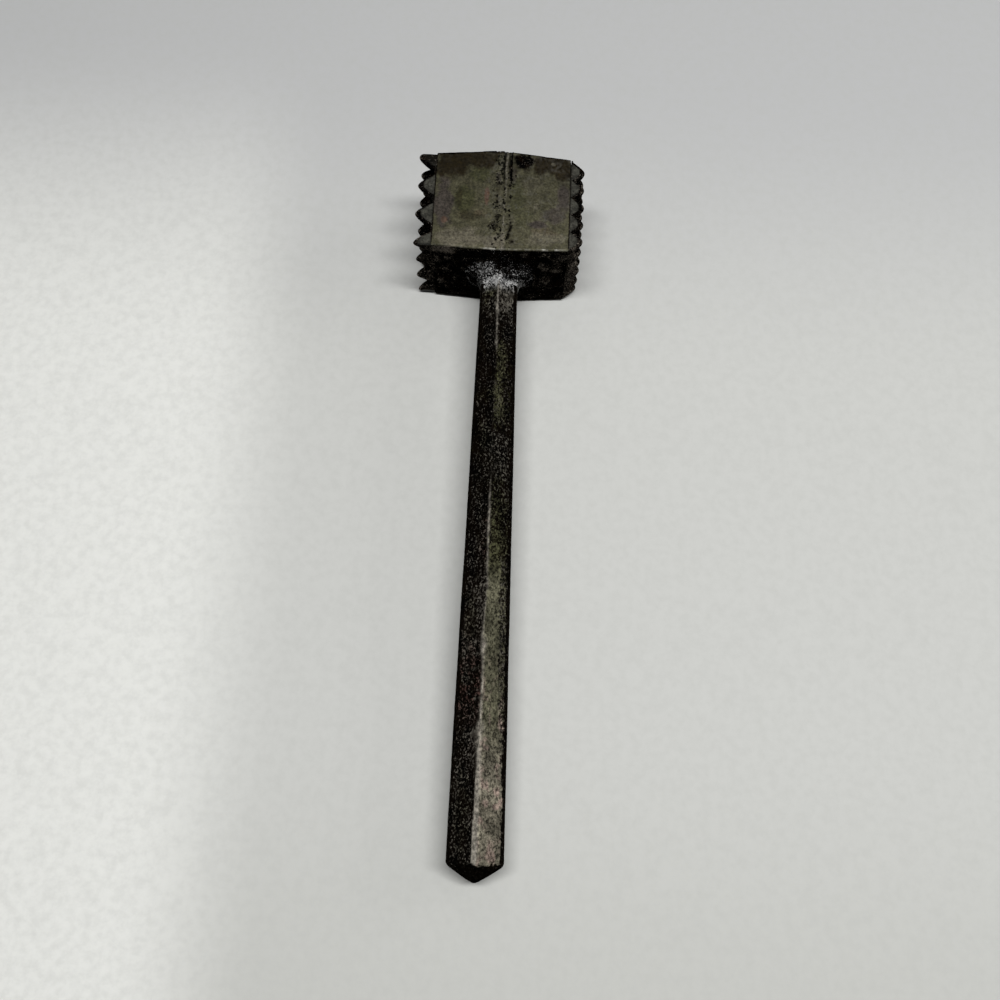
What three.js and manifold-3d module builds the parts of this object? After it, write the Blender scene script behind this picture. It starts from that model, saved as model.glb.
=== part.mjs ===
// A two-sided meat tenderizer of dark cast iron, lying on its side as on a table.
// Millimetres, +Z up: coarse teeth point to -X, fine teeth to +X, and the handle runs to -Y.
// The origin is on the table, under the middle of the tenderizer's box.
import * as THREE from "three";
import { mergeVertices } from "three/addons/utils/BufferGeometryUtils.js";
import Module from "manifold-3d";

const wasm = await Module();
wasm.setup();

// Room left wherever one piece seats in or on another
const seatGap = 0.3;

// Tooth plates, square, each let into one end of the head
const plateSide = 36.6;
const plateSeat = 3;
const studSide = 12;
const studLength = 6;

// Coarse teeth: the outer rows stand near the plate's edge, reach over its rim and are cut off there
const coarseRows = 4;
const coarsePitch = 12.3;
const coarseBase = 10.5;
const coarseHeight = 6.8;

// Fine teeth: their feet run into each other
const fineRows = 6;
const finePitch = 7.35;
const fineBase = 9.9;
const fineHeight = 5.3;

// Worn teeth: the half width and the height at each step, as shares of half the base and of the
// whole height, and how far out along each side of the section its corners are cut off
const wornProfile = [
  [1, 0],
  [0.5, 0.62],
  [0.26, 0.88],
  [0.1, 1],
];
const toothCorner = 0.65;
const toothOverhang = 1;

// Head, two cast halves that taper away from the seam
const headLength = 52;
const rimDepth = 1.7;
const rimHeight = 1.6;
const draftDepth = 1.5;
const draftHeight = 1.1;
const headRounding = 0.8;

// Weld bead in the groove between the halves, ground level with them
const beadWidth = 6;
const beadRoot = 1.2;
const beadDepth = 3;

// Handle bar, a tapered hexagon with one edge up, and its blunt pencil point
const handleLength = 226;
const rootWidth = 14.1;
const buttWidth = 19.6;
const ridgeRounding = 0.8;
const sideRounding = 2;
const pointLength = 5;
const pointFlat = 1.6;
const shoulderRounding = 2.2;

// Ground flat on the upper edge of the handle, deepest at the butt
const wearLength = 58;
const wearDepth = 0.9;

// Tang, the square end of the bar that the halves close round, with a wider foot that locks it
const tangWidth = 9;
const tangHeight = 11;
const tangLength = 29;
const footWidth = 15;
const footLength = 7;

// Fillet of weld metal round the root of the handle
const filletRadius = 6.5;
const filletEdge = 0.5;

// Steps in each rounded corner, and in the fillet's quarter circle
const roundSteps = 4;
const filletSteps = 6;

// How far a cutting body, or the buried end of a joined one, runs past what it meets
const overrun = 1;
const mergeWithin = 1e-4;

const faceHalfDepth = plateSide / 2 + rimDepth;
const faceHalfHeight = plateSide / 2 + rimHeight;
const seamHalfDepth = faceHalfDepth + draftDepth;
const seamHalfHeight = faceHalfHeight + draftHeight;
const rootY = -seamHalfDepth;
const tipY = rootY - handleLength;
const shoulderY = tipY + pointLength;
const shoulderTurn = Math.PI / 3;
const shoulderEndY = shoulderY + shoulderRounding * Math.sin(shoulderTurn);
const cornerReach = 1 / Math.cos(Math.PI / 6);

// Points round a rounded rectangle, anticlockwise, as pairs
function roundedRectangle(halfA, halfB, radius) {
  const points = [];
  for (let corner = 0; corner < 4; corner++) {
    const signA = corner === 0 || corner === 3 ? 1 : -1;
    const signB = corner < 2 ? 1 : -1;
    for (let step = 0; step <= roundSteps; step++) {
      const angle = ((corner + step / roundSteps) * Math.PI) / 2;
      const a = signA * (halfA - radius) + radius * Math.cos(angle);
      const b = signB * (halfB - radius) + radius * Math.sin(angle);
      points.push([a, b]);
    }
  }
  return points;
}

// Points round a hexagon of the given half width across flats, with its corners rounded:
// the first and fourth corners, on the first axis, by one radius and the other four by another
function roundedHexagon(apothem, endRadius, otherRadius) {
  const points = [];
  for (let corner = 0; corner < 6; corner++) {
    const radius = corner % 3 === 0 ? endRadius : otherRadius;
    const middle = (corner * Math.PI) / 3;
    const reach = (apothem - radius) * cornerReach;
    for (let step = 0; step <= roundSteps; step++) {
      const angle = middle + (step / roundSteps - 0.5) * (Math.PI / 3);
      const a = reach * Math.cos(middle) + radius * Math.cos(angle);
      const b = reach * Math.sin(middle) + radius * Math.sin(angle);
      points.push([a, b]);
    }
  }
  return points;
}

// A closed solid through rings of points that run anticlockwise about the way the rings advance
function loft(rings) {
  const count = rings[0].length;
  const index = [];
  for (let ring = 0; ring + 1 < rings.length; ring++) {
    for (let i = 0; i < count; i++) {
      const a = ring * count + i;
      const b = ring * count + ((i + 1) % count);
      index.push(a, b, b + count);
      index.push(a, b + count, a + count);
    }
  }
  const last = (rings.length - 1) * count;
  for (let i = 1; i + 1 < count; i++) {
    index.push(0, i + 1, i);
    index.push(last, last + i, last + i + 1);
  }
  const geometry = new THREE.BufferGeometry();
  geometry.setAttribute("position", new THREE.Float32BufferAttribute(rings.flat(2), 3));
  geometry.setIndex(index);
  return solidOf(geometry);
}

function solidOf(geometry) {
  geometry.deleteAttribute("normal");
  geometry.deleteAttribute("uv");
  const merged = mergeVertices(geometry, mergeWithin);
  const vertProperties = merged.attributes.position.array;
  const triVerts = new Uint32Array(merged.index.array);
  return new wasm.Manifold(new wasm.Mesh({ numProp: 3, vertProperties, triVerts }));
}

function geometryOf(solid) {
  const { vertProperties, triVerts } = solid.getMesh();
  const geometry = new THREE.BufferGeometry();
  geometry.setAttribute("position", new THREE.BufferAttribute(vertProperties, 3));
  geometry.setIndex(new THREE.BufferAttribute(triVerts, 1));
  geometry.computeVertexNormals();
  return geometry;
}

// A box between two corners
function box(low, high) {
  const size = high.map((value, axis) => value - low[axis]);
  const middle = high.map((value, axis) => (value + low[axis]) / 2);
  return solidOf(new THREE.BoxGeometry(...size).translate(...middle));
}

// A ring across the head at x, with its half sizes along the handle and up
function headRing(x, halfDepth, halfHeight, radius) {
  return roundedRectangle(halfDepth, halfHeight, radius).map(([y, z]) => [x, y, z]);
}

// The whole head, both halves and the bead, grown by the given amount on every side
function headBody(grow) {
  const radius = headRounding + grow;
  const face = [faceHalfDepth + grow, faceHalfHeight + grow, radius];
  const seam = [seamHalfDepth + grow, seamHalfHeight + grow, radius];
  return loft([
    headRing(-headLength / 2 - grow, ...face),
    headRing(-beadWidth / 2, ...seam),
    headRing(beadWidth / 2, ...seam),
    headRing(headLength / 2 + grow, ...face),
  ]);
}

// The bead as a full ring round the head, widest at the surface, grown by the given amount
function beadRing(grow) {
  const slope = (beadWidth - beadRoot) / 2 / beadDepth;
  const depth = beadDepth + grow;
  const halfRoot = beadRoot / 2 + grow;
  const halfWidth = halfRoot + depth * slope;
  const outer = [seamHalfDepth + overrun / slope, seamHalfHeight + overrun / slope, headRounding];
  const inner = [seamHalfDepth - depth, seamHalfHeight - depth, headRounding];
  const core = loft([
    headRing(-halfWidth - overrun, ...outer),
    headRing(-halfRoot, ...inner),
    headRing(halfRoot, ...inner),
    headRing(halfWidth + overrun, ...outer),
  ]);
  const low = [-halfWidth, -headLength, -headLength];
  const high = [halfWidth, headLength, headLength];
  return headBody(grow).intersect(box(low, high)).subtract(core);
}

// The tang and its foot, grown by the given amount: it starts outside the head's near face
function tang(grow) {
  const halfHeight = tangHeight / 2 + grow;
  const endY = rootY + tangLength + grow;
  const footY = rootY + tangLength - footLength - grow;
  const shank = box(
    [-tangWidth / 2 - grow, rootY - overrun, -halfHeight],
    [tangWidth / 2 + grow, endY, halfHeight],
  );
  const foot = box(
    [-footWidth / 2 - grow, footY, -halfHeight],
    [footWidth / 2 + grow, endY, halfHeight],
  );
  return shank.add(foot);
}

// Half width of the bar across its flats, at y along the handle
function barHalfWidth(y) {
  const share = (rootY - y) / (rootY - shoulderY);
  return THREE.MathUtils.lerp(rootWidth, buttWidth, share) / 2;
}

// How much of the upper edge is ground away at y
function wearAt(y) {
  return wearDepth * THREE.MathUtils.clamp(1 - (y - shoulderY) / wearLength, 0, 1);
}

// A ring round the bar at y, with its upper edge ground off flat
function barRing(y, apothem, rounding) {
  const ceiling = apothem * cornerReach - wearAt(y);
  const section = roundedHexagon(apothem, ridgeRounding * rounding, sideRounding * rounding);
  return section.map(([z, x]) => [x, y, Math.min(z, ceiling)]);
}

// The bar from its point to the given end, grown by the given amount
function barBody(endY, grow) {
  const rings = [barRing(tipY, pointFlat / 2 + grow, pointFlat / buttWidth)];
  for (let step = roundSteps; step >= 0; step--) {
    const angle = (step / roundSteps) * shoulderTurn;
    const y = shoulderEndY - shoulderRounding * Math.sin(angle);
    const inset = shoulderRounding * (1 - Math.cos(angle));
    rings.push(barRing(y, barHalfWidth(y) - inset + grow, 1));
  }
  for (const y of [shoulderY + wearLength, endY]) {
    rings.push(barRing(y, barHalfWidth(y) + grow, 1));
  }
  return loft(rings);
}

// One worn tooth that stands on the plane x = 0 and points to +X: a square with its corners cut
// off, drawn in towards the tip
function tooth(base, height, y, z) {
  const section = (half, x) => {
    const flat = half * toothCorner;
    const corners = [
      [half, flat],
      [flat, half],
      [-flat, half],
      [-half, flat],
      [-half, -flat],
      [-flat, -half],
      [flat, -half],
      [half, -flat],
    ];
    return corners.map(([a, b]) => [x, y + a, z + b]);
  };
  const steps = wornProfile.map(([width, rise]) => section((base / 2) * width, height * rise));
  return loft([section(base / 2, -overrun), ...steps]);
}

// A plate with a stud behind it and rows of teeth in front, which reach over the pocket's rim
function toothPlate(columns, rows, pitch, base, height) {
  const teeth = [];
  for (let column = 0; column < columns; column++) {
    for (let row = 0; row < rows; row++) {
      const y = (column - (columns - 1) / 2) * pitch;
      const z = (row - (rows - 1) / 2) * pitch;
      teeth.push(tooth(base, height, y, z));
    }
  }
  const slab = (from, to, half) => box([from, -half, -half], [to, half, half]);
  const field = wasm.Manifold.union(teeth);
  const half = plateSide / 2;
  return wasm.Manifold.union([
    slab(-plateSeat, 0, half),
    slab(-plateSeat - studLength, overrun - plateSeat, studSide / 2),
    field.intersect(slab(-overrun, height, half)),
    field.intersect(slab(seatGap, height, half + toothOverhang)),
  ]);
}

// One half of the head: side is -1 for the coarse half and 1 for the fine half
function headHalf(side) {
  const reach = headLength;
  const inner = seatGap / 2;
  const face = headLength / 2;
  const between = (a, b, half) => {
    const low = [Math.min(side * a, side * b), -half, -half];
    const high = [Math.max(side * a, side * b), half, half];
    return box(low, high);
  };
  const pocket = between(face - plateSeat - seatGap, reach, plateSide / 2 + seatGap);
  const hole = between(face - plateSeat - studLength - seatGap, reach, studSide / 2 + seatGap);
  return headBody(0)
    .intersect(between(inner, reach, reach))
    .subtract(beadRing(seatGap))
    .subtract(tang(seatGap))
    .subtract(pocket)
    .subtract(hole);
}

// Fillet: the bar's section set out by a quarter circle that runs from the bar to the near face
function rootFillet() {
  const rings = [];
  for (let step = 0; step <= filletSteps; step++) {
    const angle = ((step / filletSteps) * Math.PI) / 2;
    const y = rootY - filletRadius * (1 - Math.sin(angle));
    const out = seatGap + filletEdge + (filletRadius - filletEdge) * (1 - Math.cos(angle));
    const half = barHalfWidth(y);
    const section = roundedHexagon(half + out, ridgeRounding + out, sideRounding + out);
    rings.push(section.map(([z, x]) => [x, y, z]));
  }
  const widest = rings[rings.length - 1];
  rings.push(widest.map(([x, y, z]) => [x, y + draftDepth, z]));
  return loft(rings).subtract(barBody(rootY + overrun, seatGap)).subtract(headBody(seatGap));
}

const metals = {
  castIron: { color: 0x45423a, roughness: 0.62, metalness: 0.55 },
  toothIron: { color: 0x3b3934, roughness: 0.58, metalness: 0.6 },
  weldMetal: { color: 0x6d6c69, roughness: 0.5, metalness: 0.75 },
  forgedBar: { color: 0x3f3d35, roughness: 0.55, metalness: 0.6 },
};

function addMesh(group, name, solid, metal) {
  const material = new THREE.MeshStandardMaterial({ ...metal, flatShading: true });
  const mesh = new THREE.Mesh(geometryOf(solid), material);
  mesh.name = name;
  group.add(mesh);
  return mesh;
}

// The tool lies on the near lower edge of its head and the lower edge of its butt
const buttReach = (barHalfWidth(shoulderEndY) - ridgeRounding) * cornerReach + ridgeRounding;
const drop = seamHalfHeight - buttReach;
const span = rootY + headRounding - shoulderEndY;

const tool = new THREE.Group();
tool.rotation.x = Math.atan2(drop, span);

addMesh(tool, "coarse_head_half", headHalf(-1), metals.castIron);
addMesh(tool, "fine_head_half", headHalf(1), metals.castIron);
addMesh(tool, "seam_bead", beadRing(0).subtract(tang(seatGap)), metals.weldMetal);
addMesh(tool, "handle", barBody(rootY - seatGap, 0).add(tang(0)), metals.forgedBar);
addMesh(tool, "root_fillet", rootFillet(), metals.weldMetal);

const coarseTeeth = toothPlate(coarseRows, coarseRows, coarsePitch, coarseBase, coarseHeight);
const coarsePlate = addMesh(tool, "coarse_tooth_plate", coarseTeeth, metals.toothIron);
coarsePlate.position.x = -headLength / 2;
coarsePlate.rotation.z = Math.PI;

const fineTeeth = toothPlate(fineRows - 1, fineRows, finePitch, fineBase, fineHeight);
const finePlate = addMesh(tool, "fine_tooth_plate", fineTeeth, metals.toothIron);
finePlate.position.x = headLength / 2;

// Set down on the table, with the middle of the box over the origin
const part = new THREE.Group();
part.add(tool);
part.updateMatrixWorld(true);
const bounds = new THREE.Box3().setFromObject(tool, true);
const middle = bounds.getCenter(new THREE.Vector3());
tool.position.set(-middle.x, -middle.y, -bounds.min.z);

export default part;
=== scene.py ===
"""An old dark cast-iron meat tenderizer, lying on its side on pale paper.

Every shape is worked out in millimetres in the tool's own frame: the middle of the head is the origin,
+X runs from the coarse teeth to the fine ones, the handle runs to -Y, and +Z is up. place() then lays
it on the table, in metres.
"""
import itertools
import math

import bpy
import numpy as np
from mathutils import Matrix, Vector


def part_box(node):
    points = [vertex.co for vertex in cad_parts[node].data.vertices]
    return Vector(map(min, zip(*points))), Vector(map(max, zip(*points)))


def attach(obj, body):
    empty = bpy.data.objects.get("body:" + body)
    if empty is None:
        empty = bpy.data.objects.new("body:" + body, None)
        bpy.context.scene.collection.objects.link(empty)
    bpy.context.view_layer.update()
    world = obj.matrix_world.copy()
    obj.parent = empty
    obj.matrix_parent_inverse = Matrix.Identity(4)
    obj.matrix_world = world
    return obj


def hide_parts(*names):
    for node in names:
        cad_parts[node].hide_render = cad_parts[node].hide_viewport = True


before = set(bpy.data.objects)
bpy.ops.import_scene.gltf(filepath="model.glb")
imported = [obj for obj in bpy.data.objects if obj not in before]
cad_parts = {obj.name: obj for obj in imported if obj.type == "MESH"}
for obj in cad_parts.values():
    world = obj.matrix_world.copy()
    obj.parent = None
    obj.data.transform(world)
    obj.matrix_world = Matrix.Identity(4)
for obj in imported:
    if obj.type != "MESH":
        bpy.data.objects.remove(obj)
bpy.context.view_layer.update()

# Sizes in millimetres, the same as the part's where it has them
HEAD_LENGTH = 52
PLATE_SIDE = 36.6
PLATE_SEAT = 3
STUD_SIDE = 12
STUD_LENGTH = 6
COARSE_ROWS = 4
COARSE_PITCH = 12.3
COARSE_BASE = 10.5
COARSE_HEIGHT = 6.8
COARSE_BLUNT = 1.3
FINE_ROWS = 6
FINE_PITCH = 7.35
FINE_BASE = 9.9
FINE_HEIGHT = 5.3
FINE_BLUNT = 1.6
TOOTH_OVERHANG = 1
ARRIS = 0.7
PLATE_SKIN = 0.15
RIM_BITE = 0.1
RIM_DEPTH = 1.7
RIM_HEIGHT = 1.6
DRAFT_DEPTH = 1.5
DRAFT_HEIGHT = 1.1
HEAD_ROUNDING = 0.8
HEAD_SKEW = math.radians(0.65)
POCKET_LIP = 0.25
FACE_EDGE = 0.6
BEAD_WIDTH = 6
BEAD_ROOT = 1.2
BEAD_DEPTH = 3
BEAD_LAP = 0.03
HANDLE_LENGTH = 226
ROOT_WIDTH = 14.1
BUTT_WIDTH = 19.6
RIDGE_ROUNDING = 0.8
SIDE_ROUNDING = 2
POINT_LENGTH = 5
POINT_HALF = 0.4
SHOULDER_ROUNDING = 2.2
SHOULDER_TURN = math.pi / 3
WEAR_LENGTH = 58
WEAR_DEPTH = 0.9
TANG_WIDTH = 9
TANG_HEIGHT = 11
TANG_LENGTH = 29
FOOT_WIDTH = 15
FOOT_LENGTH = 7
FOOT_STEP = 0.05
FILLET_RADIUS = 6.5
FILLET_SINK = 0.6
FILLET_BITE = 0.4
BAR_SINK = 0.3
TANG_START = 0.4
SEAT_GAP = 0.3

FACE_X = HEAD_LENGTH / 2
FACE_HALF_DEPTH = PLATE_SIDE / 2 + RIM_DEPTH
FACE_HALF_HEIGHT = PLATE_SIDE / 2 + RIM_HEIGHT
SEAM_HALF_DEPTH = FACE_HALF_DEPTH + DRAFT_DEPTH
SEAM_HALF_HEIGHT = FACE_HALF_HEIGHT + DRAFT_HEIGHT
TAPER_LENGTH = FACE_X - BEAD_WIDTH / 2
ROOT_Y = -SEAM_HALF_DEPTH
TIP_Y = ROOT_Y - HANDLE_LENGTH
SHOULDER_Y = TIP_Y + POINT_LENGTH
SHOULDER_END_Y = SHOULDER_Y + SHOULDER_ROUNDING * math.sin(SHOULDER_TURN)
CORNER_REACH = 1 / math.cos(math.pi / 6)
METRES = 0.001


def bar_half(y):
    """Half width of the bar across its flats: straight from the root to the butt's shoulder."""
    share = (ROOT_Y - y) / (ROOT_Y - SHOULDER_Y)
    return (ROOT_WIDTH + (BUTT_WIDTH - ROOT_WIDTH) * share) / 2


# How the tool lies: on the near lower edge of its head and the lower edge of its butt
BUTT_REACH = (bar_half(SHOULDER_END_Y) - RIDGE_ROUNDING) * CORNER_REACH + RIDGE_ROUNDING
TILT = math.atan2(SEAM_HALF_HEIGHT - BUTT_REACH, ROOT_Y + HEAD_ROUNDING - SHOULDER_END_Y)
BEAD_LOW, BEAD_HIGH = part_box("seam_bead")
HEAD_CENTRE = (Vector(BEAD_LOW) + Vector(BEAD_HIGH)) / 2
TURN = np.array(Matrix.Rotation(TILT, 3, "X"))


# Numbers on grids

NOISE_SIDE = 64
SEED_SHIFT = 0.37
OCTAVE_SEEDS = 11
OVAL_OUTSIDE = 1.35
OVAL_INSIDE = 0.55


def place(points):
    """Tool millimetres to the part's frame in metres: turned by the tilt about X, then moved to the
    head's centre."""
    return points @ TURN.T * METRES + np.array(HEAD_CENTRE)


def smooth(low, high, value):
    """0 below low, 1 above high, and 3t^2 - 2t^3 between; low may be the higher number, for a fall."""
    t = np.clip((value - low) / (high - low), 0, 1)
    return t * t * (3 - 2 * t)


def hump(value, middle, width):
    """A bell of height 1 round the middle: e^-(d/width)^2."""
    return np.exp(-((value - middle) / width) ** 2)


def lattice_noise(points, cell, seed):
    """Values from -1 to 1 that vary smoothly: random numbers on a cubic lattice of the given cell,
    blended between the eight corners round each point with the curve 6t^5 - 15t^4 + 10t^3."""
    table = np.random.default_rng(seed).uniform(-1, 1, (NOISE_SIDE,) * 3)
    scaled = points / cell + SEED_SHIFT * seed
    base = np.floor(scaled).astype(int)
    t = scaled - base
    blend = t * t * t * (t * (t * 6 - 15) + 10)
    total = np.zeros(points.shape[:-1])
    for corner in itertools.product((0, 1), repeat=3):
        index = (base + corner) % NOISE_SIDE
        weight = np.prod(np.where(corner, blend, 1 - blend), axis=-1)
        total += weight * table[index[..., 0], index[..., 1], index[..., 2]]
    return total


def fractal(points, cell, seed, octaves=3):
    """Lattice noise summed over octaves, each at half the cell and half the height of the last."""
    total = sum(lattice_noise(points, cell / 2 ** k, seed + OCTAVE_SEEDS * k) / 2 ** k
                for k in range(octaves))
    return total / (2 - 2 ** (1 - octaves))


def normals(grid):
    """Unit normals of a grid of rings: the cross product of the differences round each ring and
    between rings."""
    around = np.roll(grid, -1, 1) - np.roll(grid, 1, 1)
    normal = np.cross(around, np.gradient(grid, axis=0))
    return normal / np.maximum(np.linalg.norm(normal, axis=-1, keepdims=True), 1e-9)


def raised(grid, height):
    """The grid moved out along its normals by the height at each point."""
    return grid + normals(grid) * height[..., None]


def grey_sides(normal):
    """Where raw skin is grey rather than soot black: on what faces out past the teeth, far or down. The soot
    black kept on the near side is partly painted shade.
    """
    x, y, z = np.moveaxis(normal, -1, 0)
    return np.max([smooth(0.9, 0.99, np.abs(x)), smooth(0.6, 0.9, y), smooth(0.1, 0.5, -z)], axis=0)


def ovals(across, along, wobble, rows):
    """The strongest of some soft ovals at each point, from 0 to 1. Each row is an oval's place across
    and along, its half width and half length, and its strength. The wobble makes the edges uneven."""
    shades = []
    for a, b, half_a, half_b, strength in rows:
        away = np.hypot((across - a) / half_a, (along - b) / half_b) + wobble
        shades.append(strength * smooth(OVAL_OUTSIDE, OVAL_INSIDE, away))
    return np.max(shades, axis=0)


def steps_along(y, rows):
    """The later columns of the rows, joined by straight lines over the first, which falls row by row."""
    table = np.array(rows)[::-1]
    return [np.interp(y, table[:, 0], column) for column in table[:, 1:].T]


def ring_mesh(name, grid, marks, wrap_rings=False):
    """A closed mesh from grid[ring, point]: quads between neighbouring rings, and unless the rings wrap
    round, a fan to the middle of the first ring and one to the middle of the last. Each mark becomes a
    number on the points."""
    rings, count = grid.shape[:2]
    index = np.arange(rings * count).reshape(rings, count)
    points = grid.reshape(-1, 3)
    ends = []
    if wrap_rings:
        index = np.vstack([index, index[:1]])
    following = np.roll(index, -1, 1)
    quads = np.stack([index[:-1], following[:-1], following[1:], index[1:]], -1).reshape(-1, 4)
    if not wrap_rings:
        first = len(points)
        points = np.vstack([points, grid[0].mean(0), grid[-1].mean(0)])
        ends += np.stack([following[0], index[0], np.full(count, first)], -1).tolist()
        ends += np.stack([index[-1], following[-1], np.full(count, first + 1)], -1).tolist()
    mesh = bpy.data.meshes.new(name)
    mesh.from_pydata(place(points).tolist(), [], quads.tolist() + ends)
    mesh.polygons.foreach_set("use_smooth", np.full(len(mesh.polygons), True))
    for mark, values in marks.items():
        numbers = np.zeros(len(points))
        numbers[:values.size] = values.ravel()
        mesh.attributes.new(mark, "FLOAT", "POINT").data.foreach_set("value", numbers)
    mesh.update()
    piece = bpy.data.objects.new(name, mesh)
    bpy.context.scene.collection.objects.link(piece)
    return piece


def with_sides(corners, side_points):
    """Corner arcs joined into whole rings by straight runs of evenly spaced points."""
    share = np.linspace(0, 1, side_points + 1)[None, 1:-1, None]
    parts = []
    for arc, following in zip(corners, corners[1:] + corners[:1]):
        start = arc[:, -1:]
        parts += [arc, start + (following[:, :1] - start) * share]
    return np.concatenate(parts, 1)


def rounded_rectangle(half_a, half_b, radius, side_points, corner_points):
    """Points round rounded rectangles, one ring for each entry of the half sizes and radii,
    anticlockwise: four quarter circles with straight sides between them."""
    half_a, half_b, radius = np.broadcast_arrays(half_a, half_b, radius)
    corners = []
    for corner, (sign_a, sign_b) in enumerate(((1, 1), (-1, 1), (-1, -1), (1, -1))):
        angle = (corner + np.linspace(0, 1, corner_points + 1)) * math.pi / 2
        a = sign_a * (half_a - radius)[:, None] + radius[:, None] * np.cos(angle)
        b = sign_b * (half_b - radius)[:, None] + radius[:, None] * np.sin(angle)
        corners.append(np.stack([a, b], -1))
    return with_sides(corners, side_points)


def rounded_hexagon(apothem, end_radius, other_radius, side_points, corner_points):
    """Points round rounded hexagons, anticlockwise from the first axis: the two corners on that axis
    are rounded by one radius and the other four by another, and every corner circle touches both of
    its sides."""
    apothem, end_radius, other_radius = np.broadcast_arrays(apothem, end_radius, other_radius)
    corners = []
    for corner in range(6):
        radius = (end_radius if corner % 3 == 0 else other_radius)[:, None]
        middle = corner * math.pi / 3
        reach = (apothem[:, None] - radius) * CORNER_REACH
        angle = middle + (np.linspace(0, 1, corner_points + 1) - 0.5) * math.pi / 3
        a = reach * math.cos(middle) + radius * np.cos(angle)
        b = reach * math.sin(middle) + radius * np.sin(angle)
        corners.append(np.stack([a, b], -1))
    return with_sides(corners, side_points)


# The seam's marks: pits, the line between the halves and the low spot

# Pits seen on the upper side: across the seam, along it, and radius
SEEN_PITS = (
    (-1.2, 7, 0.75), (-0.4, 7.3, 0.5), (0.8, 4.6, 0.55), (2.6, 6.2, 0.6), (4, 6.9, 0.45), (2.3, 14.6, 0.5),
    (2.6, 12.4, 0.5), (2.9, 9.6, 0.5), (-0.9, 16, 0.6), (-0.8, 12.9, 0.6), (-0.3, 11.3, 0.5),
    (-2, 15.8, 0.6), (0.6, -0.6, 0.4), (1.1, -4, 0.5), (-1.8, -1, 0.5), (-1.9, -3, 0.4), (-1.8, 1.6, 0.4),
    (-1.2, -7.2, 0.8), (-1.5, -8.6, 0.8), (-3.1, -10.8, 0.7), (-2.6, -12.2, 0.8), (-3.8, -12.4, 0.5),
    (3.6, -9.6, 0.5), (3.8, -11.2, 0.45), (3.5, -12.8, 0.55), (2.8, -14.6, 0.5), (2.3, -16.2, 0.5),
    (-1, -15, 0.5), (-0.8, -16.4, 0.5), (-1.8, -17, 0.4), (4.6, -17.6, 0.6), (-4.6, -11.3, 0.4),
)
UNSEEN_PITS = 60
UNSEEN_LINES = (-1.9, 2.6)
FINE_PITS = 420
FINE_LINES = (-1.8, 0.2, 2.6)
ROUND_HEAD = 4 * (SEAM_HALF_DEPTH + SEAM_HALF_HEIGHT)
HOLLOW_AT = (8, 17.6)
HOLLOW_HALF = (4.1, 3.7)


def unrolled(grid):
    """How far round the head each point lies, about the X axis: its y on the upper side, then on over
    the far, lower and near sides."""
    y, z = grid[..., 1], grid[..., 2]
    a, b = y / SEAM_HALF_DEPTH, z / SEAM_HALF_HEIGHT
    far = SEAM_HALF_DEPTH + SEAM_HALF_HEIGHT - z
    under = SEAM_HALF_DEPTH * 2 + SEAM_HALF_HEIGHT * 2 - y
    near = -SEAM_HALF_DEPTH - SEAM_HALF_HEIGHT + z
    return np.select([b >= np.abs(a), a >= np.abs(b), b <= -np.abs(a)], [y, far, under], near)


def scattered_pits(rng, count, lines, spread, start, small, large):
    """Random pits as rows of across, along, radius, close to some lines along the seam."""
    return np.stack([rng.choice(lines, count) + rng.normal(0, spread, count),
                     rng.uniform(start, ROUND_HEAD - SEAM_HALF_DEPTH, count),
                     rng.uniform(small, large, count)], -1)


def seam_pits():
    """All pits: the seen ones, more on the unseen sides, and fine ones along the whole seam."""
    rng = np.random.default_rng(17)
    unseen = scattered_pits(rng, UNSEEN_PITS, UNSEEN_LINES, 0.9, SEAM_HALF_DEPTH, 0.3, 0.75)
    fine = scattered_pits(rng, FINE_PITS, FINE_LINES, 0.8, -SEAM_HALF_DEPTH, 0.15, 0.38)
    return np.concatenate([SEEN_PITS, unseen, fine])


PITS = seam_pits()


def pit_depth(across, along, wobble):
    """How deep the pits are, from 0 to 1: 1 - (d/r)^2 inside each pit, with its edge made uneven."""
    depth = np.zeros(across.shape)
    for pit_across, pit_along, radius in PITS:
        close = (np.abs(across - pit_across) < 2 * radius) & (np.abs(along - pit_along) < 3 * radius)
        d = np.hypot(across[close] - pit_across, (along[close] - pit_along) * 0.75) / radius
        bowl = np.clip(1 - (d * (1 + 0.9 * wobble[close])) ** 2, 0, 1)
        depth[close] = np.maximum(depth[close], bowl)
    return depth


def lap_line(along):
    """Where the line between the halves shows across the seam, a little to the fine side."""
    return 1.05 + 0.012 * along + 0.16 * np.sin(along / 3.1) + 0.1 * np.sin(along / 1.3)


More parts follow.
